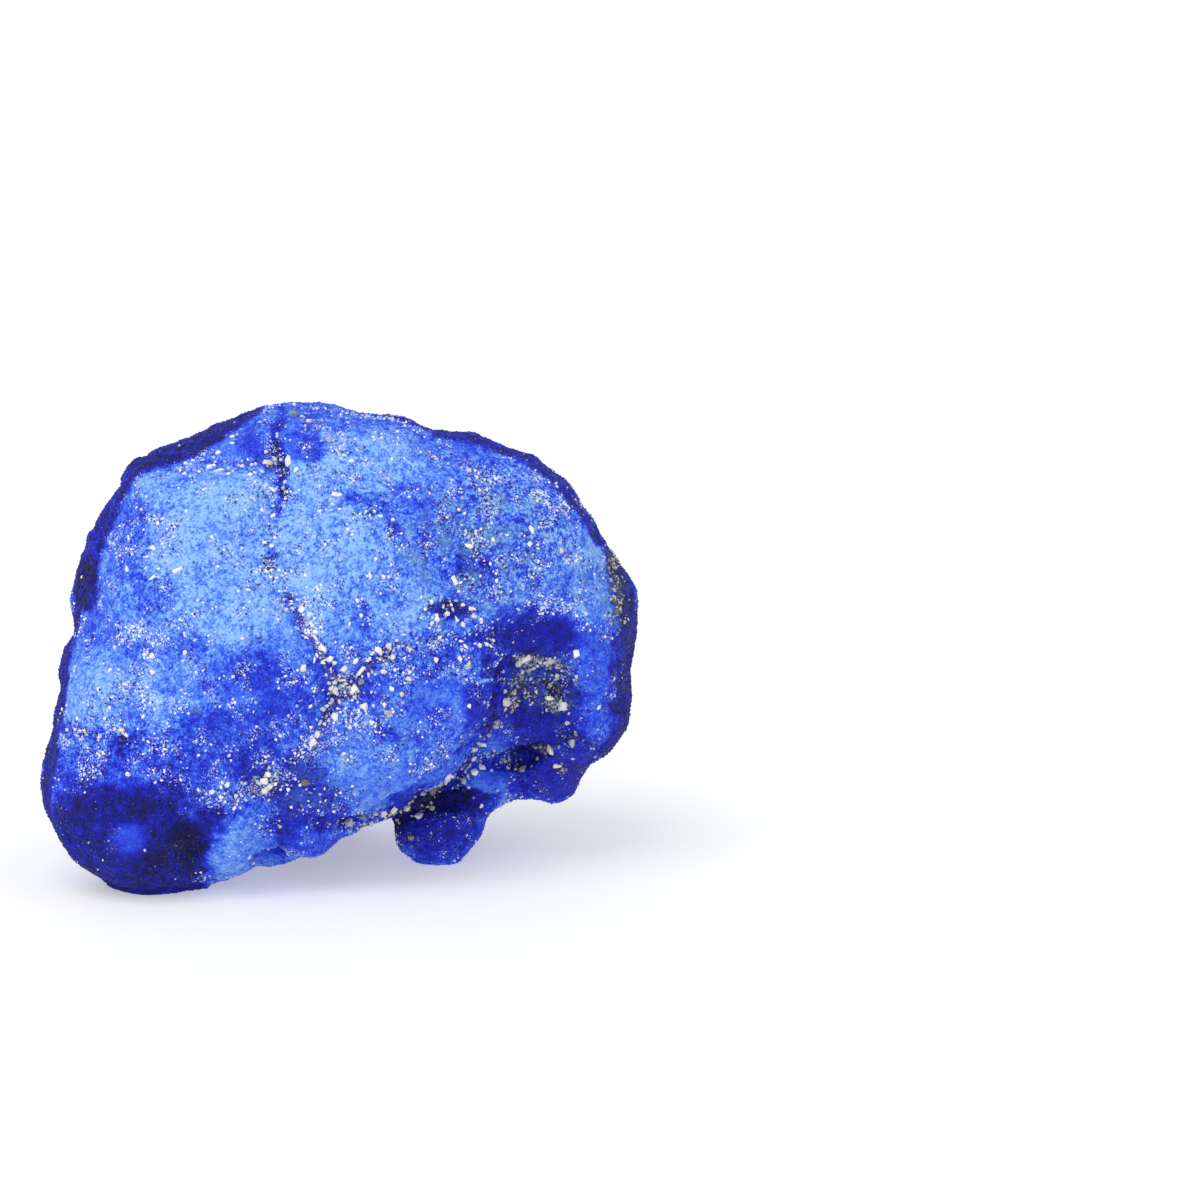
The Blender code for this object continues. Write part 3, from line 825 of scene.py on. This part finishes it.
def paint_skin(mesh):
    """Stores how blue, green and covered with grains each point of the skin is. The blue tone holds painted
    light and shade as well as the crust's own colour.
    """
    points, normals = read_points(mesh), read_normals(mesh)
    hollows = hollow_depth(mesh)
    places = photo_places(points)
    loose = wandering(points, places, PATCH_WOBBLE)
    tight = wandering(points, places, LINE_WOBBLE)
    facing = normals @ -VIEW_FORWARD
    wander = PAINT_WANDERS * np.clip(wave(points, PAINT_WAVE, PAINT_SEED), 0.0, 1.0)
    shown = fade(facing + wander, PAINT_ENDS, PAINT_IS_FULL)

    def with_back(front, back):
        """The front's values where the photograph shows the skin, and the back's elsewhere."""
        return front * shown + back * (1.0 - shown)

    broken = np.clip(LINE_STRENGTH + LINE_BREAKS * wave(points, LINE_BREAK_WAVE, LINE_SEED), LEAST_LINE, 1.0)
    rim_places = (places + tight) / 2
    rim_strength = fade(facing + RIM_WANDERS * wave(points, RIM_WAVE, RIM_SEED), RIM_ENDS, RIM_IS_FULL)
    rim = np.max([band_share(rim_places, wide, route) for _, wide, route in RIM_LINES.values()], axis=0)
    rim = rim * rim_strength
    sand = raised(0.0, tight, SAND_PATCHES, SAND_LINES)
    front = blended(blended(FRONT_TONE, loose, TONE_PATCHES), tight, TONE_SPOTS)
    # Tone lines; the crack's line is painted shade in it.
    front = lined(front, tight, TONE_LINES, line_share, broken)
    # Painted shade along the outline, over the crust's own dark rim.
    front = lined(front, rim_places, RIM_LINES, band_share, rim_strength)
    # Painted shade in the hollows of the show face.
    front = front - FRONT_HOLLOW_SHADE * np.clip(hollows, *FRONT_HOLLOW_RANGE)
    # Painted shadow between the sand grains.
    front = front * (1.0 - SAND_PAINTED_SHADOW * fade(sand, *SHADED_SAND))

    calm = raised(0.0, tight, CALM_PATCHES) * shown
    coarse = raised(0.0, loose, COARSE_PATCHES) * shown
    gathered = clusters(points)
    bare = FRONT_SPECKS * (DARK_SPECKS + (1.0 - DARK_SPECKS) * fade(front, *SPECK_TONES))
    specks = raised(bare, loose, SPECK_PATCHES, SPECK_LINES) * (1.0 - (1.0 - RIM_SPECKS) * rim)
    specks = with_back(specks, BACK_SPECKS) * gathered * (1.0 - CALM_SPECKS * calm)
    hollow_sand = BACK_SAND + HOLLOW_SAND * fade(hollows, *SANDY_HOLLOW)
    dark = raised(np.maximum(FRONT_DARK, RIM_DARK * rim), tight, DARK_PATCHES)
    standing = (points[:, 2] > FLOOR_REACH).astype(float)
    layers = {
        "tone": np.clip(with_back(front, back_tone(points, normals, hollows)), 0.0, 1.0),
        "green": raised(0.0, loose, GREEN_PATCHES) * shown,
        "grey": with_back(raised(0.0, loose, GREY_AND_SHADE_PATCHES), BACK_GREY_AND_SHADE),
        "rough": (1.0 - calm * (1.0 - CALM_ROUGHNESS)) * (1.0 + coarse),
        "cover": standing,
        "specks": specks * standing,
        "sand": with_back(sand, hollow_sand) * standing,
        "dark": with_back(dark, BACK_DARK) * gathered * standing,
    }
    for name, values in layers.items():
        store = mesh.attributes.new(name, "FLOAT", "POINT")
        store.data.foreach_set("value", values.astype(np.float32))


# Trees of nodes

def add_node(tree, kind, settings=None, inputs=None):
    """Adds a node. An input is a value or another node's output."""
    made = tree.nodes.new(kind)
    for name, value in (settings or {}).items():
        setattr(made, name, value)
    for key, value in (inputs or {}).items():
        if isinstance(value, bpy.types.NodeSocket):
            tree.links.new(value, made.inputs[key])
        else:
            made.inputs[key].default_value = value
    return made


def calculated(tree, operation, first, second=0.0, clamp=False):
    settings = {"operation": operation, "use_clamp": clamp}
    return add_node(tree, "ShaderNodeMath", settings, {0: first, 1: second}).outputs[0]


def scaled(tree, vector, scale):
    inputs = {0: vector, "Scale": scale}
    return add_node(tree, "ShaderNodeVectorMath", {"operation": "SCALE"}, inputs).outputs[0]


def random_number(tree, low, high, seed):
    """A random number of its own for each point."""
    settings = {"data_type": "FLOAT"}
    inputs = {2: low, 3: high, 8: seed}
    return add_node(tree, "FunctionNodeRandomValue", settings, inputs).outputs[1]


def random_turn(tree, standing, tilt, seed):
    """The standing rotation, tilted either way and spun about itself at random."""
    lean = calculated(tree, "MULTIPLY", tilt, -1.0)
    low = add_node(tree, "ShaderNodeCombineXYZ", None, {0: lean, 1: lean, 2: 0.0}).outputs[0]
    high = add_node(tree, "ShaderNodeCombineXYZ", None, {0: tilt, 1: tilt, 2: math.tau}).outputs[0]
    drawn = add_node(
        tree, "FunctionNodeRandomValue", {"data_type": "FLOAT_VECTOR"}, {0: low, 1: high, 8: seed}
    ).outputs[0]
    turn = add_node(tree, "FunctionNodeEulerToRotation", None, {0: drawn}).outputs[0]
    return add_node(
        tree, "FunctionNodeRotateRotation", {"rotation_space": "LOCAL"}, {0: standing, 1: turn}
    ).outputs[0]


GRAIN_INPUTS = (
    ("where", "NodeSocketString"),
    ("grains per square millimetre", "NodeSocketFloat"),
    ("smallest", "NodeSocketFloat"),
    ("largest", "NodeSocketFloat"),
    ("thickness", "NodeSocketFloat"),
    ("tilt", "NodeSocketFloat"),
    ("unevenness", "NodeSocketFloat"),
    ("share of small ones", "NodeSocketFloat"),
    ("seed", "NodeSocketInt"),
    ("material", "NodeSocketMaterial"),
)


def crystal_shape(tree):
    """The four-sided tip of a crystal, one unit across, with its foot sunk in the surface."""
    sizes = {"Vertices": 4, "Radius Top": 0.0, "Radius Bottom": 0.6, "Depth": 1.0}
    tip = add_node(tree, "GeometryNodeMeshCone", {"fill_type": "NGON"}, sizes)
    sunk = {"Geometry": tip.outputs["Mesh"], "Translation": (0.0, 0.0, -0.4)}
    return add_node(tree, "GeometryNodeTransform", None, sunk).outputs[0]


def dust_shape(tree):
    """A speck with eight faces, one unit across."""
    sizes = {"Segments": 4, "Rings": 2, "Radius": 0.5}
    return add_node(tree, "GeometryNodeMeshUVSphere", None, sizes).outputs["Mesh"]


def pebble_shape(tree):
    """A rounded grain with twenty faces, one unit across."""
    made = add_node(tree, "GeometryNodeMeshIcoSphere", None, {"Radius": 0.5, "Subdivisions": 1})
    return made.outputs["Mesh"]


def scattered(tree, given, shape):
    """Grains of the shape on the given surface, each of a random size, turn and chance."""
    seeds = [given["seed"]] + [calculated(tree, "ADD", given["seed"], float(step)) for step in (1, 2, 3)]
    where = add_node(
        tree, "GeometryNodeInputNamedAttribute", {"data_type": "FLOAT"}, {"Name": given["where"]}
    ).outputs["Attribute"]
    density = calculated(tree, "MULTIPLY", where, given["grains per square millimetre"])
    spots = add_node(
        tree,
        "GeometryNodeDistributePointsOnFaces",
        {"distribute_method": "RANDOM"},
        {"Mesh": given["surface"], "Density": density, "Seed": seeds[0]},
    ).outputs
    small = calculated(tree, "POWER", random_number(tree, 0.0, 1.0, seeds[0]), given["share of small ones"])
    size = between(tree, small, 0.0, 1.0, given["smallest"], given["largest"])
    narrow = random_number(tree, NARROWEST_GRAIN, 1.0, seeds[1])
    widths = add_node(
        tree, "ShaderNodeCombineXYZ", None, {0: 1.0, 1: narrow, 2: given["thickness"]}
    ).outputs[0]
    placing = {
        "Points": spots["Points"],
        "Instance": shape(tree),
        "Rotation": random_turn(tree, spots["Rotation"], given["tilt"], seeds[2]),
        "Scale": scaled(tree, widths, size),
    }
    placed = add_node(tree, "GeometryNodeInstanceOnPoints", None, placing)
    chance = random_number(tree, 0.0, 1.0, seeds[3])
    return add_node(
        tree,
        "GeometryNodeStoreNamedAttribute",
        {"data_type": "FLOAT", "domain": "INSTANCE"},
        {"Geometry": placed.outputs[0], "Name": "chance", "Value": chance},
    ).outputs[0]


def grain_tree(name, shape):
    """A tree that covers a surface with grains of one shape."""
    tree = bpy.data.node_groups.new(name, "GeometryNodeTree")
    tree.interface.new_socket("surface", in_out="INPUT", socket_type="NodeSocketGeometry")
    for label, kind in GRAIN_INPUTS:
        tree.interface.new_socket(label, in_out="INPUT", socket_type=kind)
    tree.interface.new_socket("grains", in_out="OUTPUT", socket_type="NodeSocketGeometry")
    given = add_node(tree, "NodeGroupInput").outputs
    marked = scattered(tree, given, shape)
    position = add_node(tree, "GeometryNodeInputPosition").outputs[0]
    rough = add_node(
        tree, "ShaderNodeTexNoise", {"noise_dimensions": "3D"}, {"Vector": position, "Scale": UNEVEN_SCALE}
    ).outputs["Color"]
    centred = add_node(
        tree, "ShaderNodeVectorMath", {"operation": "SUBTRACT"}, {0: rough, 1: (0.5, 0.5, 0.5)}
    ).outputs[0]
    grains = marked
    for kind, inputs in (
        ("GeometryNodeRealizeInstances", {}),
        ("GeometryNodeSetPosition", {"Offset": scaled(tree, centred, given["unevenness"])}),
        ("GeometryNodeSetShadeSmooth", {"Shade Smooth": False}),
        ("GeometryNodeSetMaterial", {"Material": given["material"]}),
    ):
        grains = add_node(tree, kind, None, {"Geometry": grains, **inputs}).outputs[0]
    add_node(tree, "NodeGroupOutput", None, {0: grains})
    return tree


def grains_mesh(skin, tree, values):
    """The grains that the tree puts on the skin, as one plain mesh."""
    ground = temporary("ground", skin)
    cover = ground.modifiers.new("grains", "NODES")
    cover.node_group = tree
    for item in tree.interface.items_tree:
        if item.in_out == "INPUT" and item.name in values:
            cover[item.identifier] = values[item.name]
    return baked(ground)


def large_grains_mesh(skin):
    """The large sand grains, each broken flat on all sides, where the photograph shows them."""
    points, normals = read_points(skin), read_normals(skin)
    places, depths = photo_places(points), points @ VIEW_FORWARD
    turned_away = normals @ VIEW_FORWARD > 0.0
    chance_of = np.random.default_rng(GRAIN_SEED)
    shape = bmesh.new()
    shades = shape.verts.layers.float.new("chance")
    greys = shape.verts.layers.float.new("grey")
    for across, down, width, height, tenths in sum(LARGE_GRAINS.values(), ()):
        gap = np.linalg.norm(places - (across, down), axis=1)
        spot = np.argmin(np.where((gap > GRAIN_SEARCH) | turned_away, np.inf, depths))
        out = normals[spot]
        right = np.cross(out, VIEW_FORWARD - out * (out @ VIEW_FORWARD))
        right = right if right[0] > 0.0 else -right
        right /= np.linalg.norm(right)
        axes = np.stack([right, np.cross(out, right), out])
        size = np.array([width, height, GRAIN_THICKNESS * min(width, height)]) * GRAIN_SCALE / PIXELS_PER_MM
        corners = chance_of.normal(size=(GRAIN_CORNERS, 3))
        corners /= np.linalg.norm(corners, axis=1)[:, None]
        corners *= chance_of.uniform(*CORNER_REACH, (GRAIN_CORNERS, 1)) * size / 2
        corners[:, 2] += size[2] * GRAIN_RAISED
        made = [shape.verts.new(Vector(corner)) for corner in points[spot] + corners @ axes]
        shade = tenths / 10
        for corner in made:
            corner[shades] = shade
            corner[greys] = np.clip(1.0 - GREY_LOSS * shade, 0.0, 1.0)
        hull = bmesh.ops.convex_hull(shape, input=made)
        spare = hull["geom_interior"] + hull["geom_unused"]
        inner = {item for item in spare if isinstance(item, bmesh.types.BMVert)}
        bmesh.ops.delete(shape, geom=list(inner), context="VERTS")
    bmesh.ops.recalc_face_normals(shape, faces=shape.faces)
    mesh = bpy.data.meshes.new("large grains")
    shape.to_mesh(mesh)
    shape.free()
    mesh.shade_flat()
    return mesh


# Materials

def new_material(name, shine):
    material = bpy.data.materials.new(name)
    material.use_nodes = True
    tree = material.node_tree
    shader = tree.nodes["Principled BSDF"]
    shader.inputs["Specular IOR Level"].default_value = shine
    return material, tree, shader


def millimetres(tree):
    return scaled(tree, add_node(tree, "ShaderNodeTexCoord").outputs["Object"], 1.0 / MM)


def stored(tree, name):
    return add_node(tree, "ShaderNodeAttribute", {"attribute_name": name}).outputs["Fac"]


def noise_at(tree, place, size, detail):
    """Noise of about 0 to 1 with lumps of this size."""
    inputs = {"Vector": place, "Scale": 1.0 / size, "Detail": detail}
    return add_node(tree, "ShaderNodeTexNoise", None, inputs).outputs["Fac"]


def ramp(tree, value, stops):
    made = add_node(tree, "ShaderNodeValToRGB", None, {"Fac": value})
    marks = made.color_ramp.elements
    marks[0].position, marks[0].color = stops[0]
    marks[1].position, marks[1].color = stops[-1]
    for position, colour in stops[1:-1]:
        marks.new(position).color = colour
    return made.outputs["Color"]


def mixed(tree, share, first, second, blend="MIX"):
    settings = {"data_type": "RGBA", "blend_type": blend}
    return add_node(tree, "ShaderNodeMix", settings, {0: share, 6: first, 7: second}).outputs[2]


def between(tree, value, low, high, to_low=0.0, to_high=1.0):
    inputs = {"Value": value, "From Min": low, "From Max": high, "To Min": to_low, "To Max": to_high}
    return add_node(tree, "ShaderNodeMapRange", None, inputs).outputs[0]


def product(tree, first, second):
    return calculated(tree, "MULTIPLY", first, second)


def summed(tree, base, values, strengths):
    """The base, changed by each value of about 0 to 1 as strongly as it counts."""
    for value, strength in zip(values, strengths):
        change = product(tree, calculated(tree, "SUBTRACT", value, 0.5), strength)
        base = calculated(tree, "ADD", base, change)
    return base


def mottled_tone(tree, values, strengths):
    """The skin's tone, varied by each value, and less so in smooth places."""
    mottle = product(tree, summed(tree, 0.0, values, strengths), stored(tree, "rough"))
    return calculated(tree, "ADD", stored(tree, "tone"), mottle)


def skin_material():
    material, tree, shader = new_material("azurite_crust", CRUST_SHINE)
    place = millimetres(tree)
    grain = add_node(tree, "ShaderNodeTexVoronoi", None, {"Vector": place, "Scale": GRAINS_PER_MM})
    each_grain = add_node(tree, "ShaderNodeSeparateColor", None, {0: grain.outputs["Color"]}).outputs[0]
    fine, middling, patchy, fleck, prick = (
        noise_at(tree, place, *noise_size)
        for noise_size in (FINE_NOISE, MIDDLE_NOISE, PATCHY_NOISE, FLECK_NOISE, PINPRICK_NOISE)
    )
    colour = ramp(tree, mottled_tone(tree, (each_grain, fine, middling, patchy), CRUST_MOTTLES), BLUES)
    specks = stored(tree, "specks")
    teal = product(tree, stored(tree, "green"), between(tree, patchy, *TEAL_RANGE))
    sand = between(tree, stored(tree, "sand"), *POWDERED_SAND)
    flecked = between(tree, specks, *FLECKED_SPECKS)
    pricked = between(tree, specks, *PRICKED_SPECKS)
    for share, cover in (
        (product(tree, teal, TEAL_STRENGTH), TEAL),
        (product(tree, sand, between(tree, fine, *POWDER_RANGE)), POWDER),
        (product(tree, between(tree, fleck, *FLECK_RANGE), flecked), FLECK),
        # Painted shade of small pits among the specks.
        (product(tree, between(tree, prick, *PINPRICK_RANGE), pricked), PINPRICK_SHADE),
    ):
        colour = mixed(tree, share, colour, cover)
    tree.links.new(colour, shader.inputs["Base Color"])
    tree.links.new(between(tree, fine, *CRUST_ROUGHNESS), shader.inputs["Roughness"])
    height = calculated(tree, "ADD", product(tree, grain.outputs["Distance"], -1.0), fine)
    bumps = {"Strength": 1.0, "Distance": BUMP_HEIGHT * MM, "Height": height}
    tree.links.new(add_node(tree, "ShaderNodeBump", None, bumps).outputs[0], shader.inputs["Normal"])
    return material


def crystal_material():
    material, tree, shader = new_material("azurite_crystals", CRYSTAL_SHINE)
    chance = stored(tree, "chance")
    patchy = noise_at(tree, millimetres(tree), *CRYSTAL_NOISE)
    tone = mottled_tone(tree, (chance, patchy), CRYSTAL_MOTTLES)
    colour = ramp(tree, calculated(tree, "ADD", tone, CRYSTAL_LIGHTNESS), BLUES)
    tree.links.new(colour, shader.inputs["Base Color"])
    tree.links.new(between(tree, chance, *CRYSTAL_ROUGHNESS), shader.inputs["Roughness"])
    return material


def mineral_material(name, stops, roughness):
    """A grain's own colour, picked by chance, clouded inside, and greyer and darker where the stored grey
    share says so: partly its own grey-green, partly painted shade.
    """
    material, tree, shader = new_material(name, GRAIN_SHINE)
    cloud = noise_at(tree, millimetres(tree), *GRAIN_NOISE)
    own = ramp(tree, summed(tree, stored(tree, "chance"), (cloud,), (GRAIN_CLOUDS,)), stops)
    colour = mixed(tree, stored(tree, "grey"), own, GREY_AND_SHADE_TINT, "MULTIPLY")
    tree.links.new(colour, shader.inputs["Base Color"])
    shader.inputs["Roughness"].default_value = roughness
    return material


def floor_material():
    material, tree, shader = new_material("pale_floor", FLOOR_SHINE)
    cloud = noise_at(tree, millimetres(tree), *FLOOR_NOISE)
    grey = between(tree, cloud, 0.3, 0.7, FLOOR_GREY - FLOOR_CLOUDS, FLOOR_GREY + FLOOR_CLOUDS)
    shares = {axis: product(tree, grey, share) for axis, share in enumerate(FLOOR_TINT)}
    colour = add_node(tree, "ShaderNodeCombineColor", None, shares).outputs[0]
    tree.links.new(colour, shader.inputs["Base Color"])
    depth = add_node(tree, "ShaderNodeSeparateXYZ", None, {0: millimetres(tree)}).outputs["Y"]
    glow = between(tree, depth, FLOOR_FRONT, FLOOR_BACK, FLOOR_GLOW_FRONT, FLOOR_GLOW_BACK)
    tree.links.new(glow, shader.inputs["Emission Strength"])
    shader.inputs["Emission Color"].default_value = (1.0, 1.0, 1.0, 1.0)
    shader.inputs["Roughness"].default_value = FLOOR_ROUGHNESS
    return material


# The finished pieces

def finish_piece(name, mesh, material=None):
    """Puts the mesh in metres and lets it ride on the nodule's body."""
    write_points(mesh, read_points(mesh) * MM)
    if material is not None:
        mesh.materials.clear()
        mesh.materials.append(material)
    mesh.name = name
    piece = bpy.data.objects.new(name, mesh)
    bpy.context.scene.collection.objects.link(piece)
    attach(piece, BODY)
    return piece


def build_nodule():
    skin = fine_skin(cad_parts[NODE])
    shape_skin(skin)
    paint_skin(skin)
    crystals = grain_tree("crystals on a surface", crystal_shape)
    pebbles = grain_tree("grains on a surface", pebble_shape)
    dust = grain_tree("dust on a surface", dust_shape)
    blue = crystal_material()
    finishes = {
        "crystals_fine": (crystals, blue),
        "crystals_coarse": (crystals, blue),
        "white_specks": (dust, mineral_material("white_specks", WHITES, SPECK_ROUGHNESS)),
        "sand_grains": (pebbles, mineral_material("sand_grains", SANDS, GRAIN_ROUGHNESS)),
        "dark_grains": (dust, mineral_material("dark_grains", DARKS, GRAIN_ROUGHNESS)),
    }
    for turn, (name, sizes) in enumerate(GRAINS.items()):
        tree, material = finishes[name]
        values = dict(zip((label for label, kind in GRAIN_INPUTS), sizes))
        values["seed"] = SEED_STEP * turn
        values["material"] = material
        finish_piece(name, grains_mesh(skin, tree, values))
    finish_piece("large_sand_grains", large_grains_mesh(skin), finishes["sand_grains"][1])
    skin.shade_smooth()
    piece = finish_piece("azurite_crust", skin, skin_material())
    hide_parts(NODE)


# The stage, the light and the camera

def build_stage():
    half = FLOOR_SIDE / 2 * MM
    mesh = bpy.data.meshes.new("floor")
    corners = [(-half, -half, 0.0), (half, -half, 0.0), (half, half, 0.0), (-half, half, 0.0)]
    mesh.from_pydata(corners, [], [(0, 1, 2, 3)])
    mesh.materials.append(floor_material())
    floor = bpy.data.objects.new("floor", mesh)
    bpy.context.scene.collection.objects.link(floor)


def add_soft_box(name, place, side, power):
    light = bpy.data.lights.new(name, "AREA")
    light.shape = "SQUARE"
    light.size = side * MM
    light.energy = power
    lamp = bpy.data.objects.new(name, light)
    lamp.location = Vector(place) * MM
    lamp.rotation_euler = (Vector(LIT_MIDDLE) - Vector(place)).to_track_quat("-Z", "Y").to_euler()
    bpy.context.scene.collection.objects.link(lamp)


def build_light():
    world = bpy.data.worlds.new("studio")
    world.use_nodes = True
    sky = world.node_tree.nodes["Background"]
    sky.inputs["Color"].default_value = SKY_COLOUR
    sky.inputs["Strength"].default_value = SKY_STRENGTH
    bpy.context.scene.world = world
    for name, (place, side, power) in SOFT_BOXES.items():
        add_soft_box(name, place, side, power)


def build_camera():
    data = bpy.data.cameras.new("photo_camera")
    data.sensor_width = SENSOR_WIDTH
    data.lens = LENS
    data.clip_start, data.clip_end = CLIP_START, CLIP_END
    camera = bpy.data.objects.new("photo_camera", data)
    camera.location = (VIEW_AIM - VIEW_FORWARD * VIEW_DISTANCE) * MM
    camera.rotation_euler = (math.pi / 2 - VIEW_TILT, 0.0, 0.0)
    bpy.context.scene.collection.objects.link(camera)
    bpy.context.scene.camera = camera
    bpy.context.scene.view_settings.view_transform = "Standard"


build_nodule()
build_stage()
build_light()
build_camera()
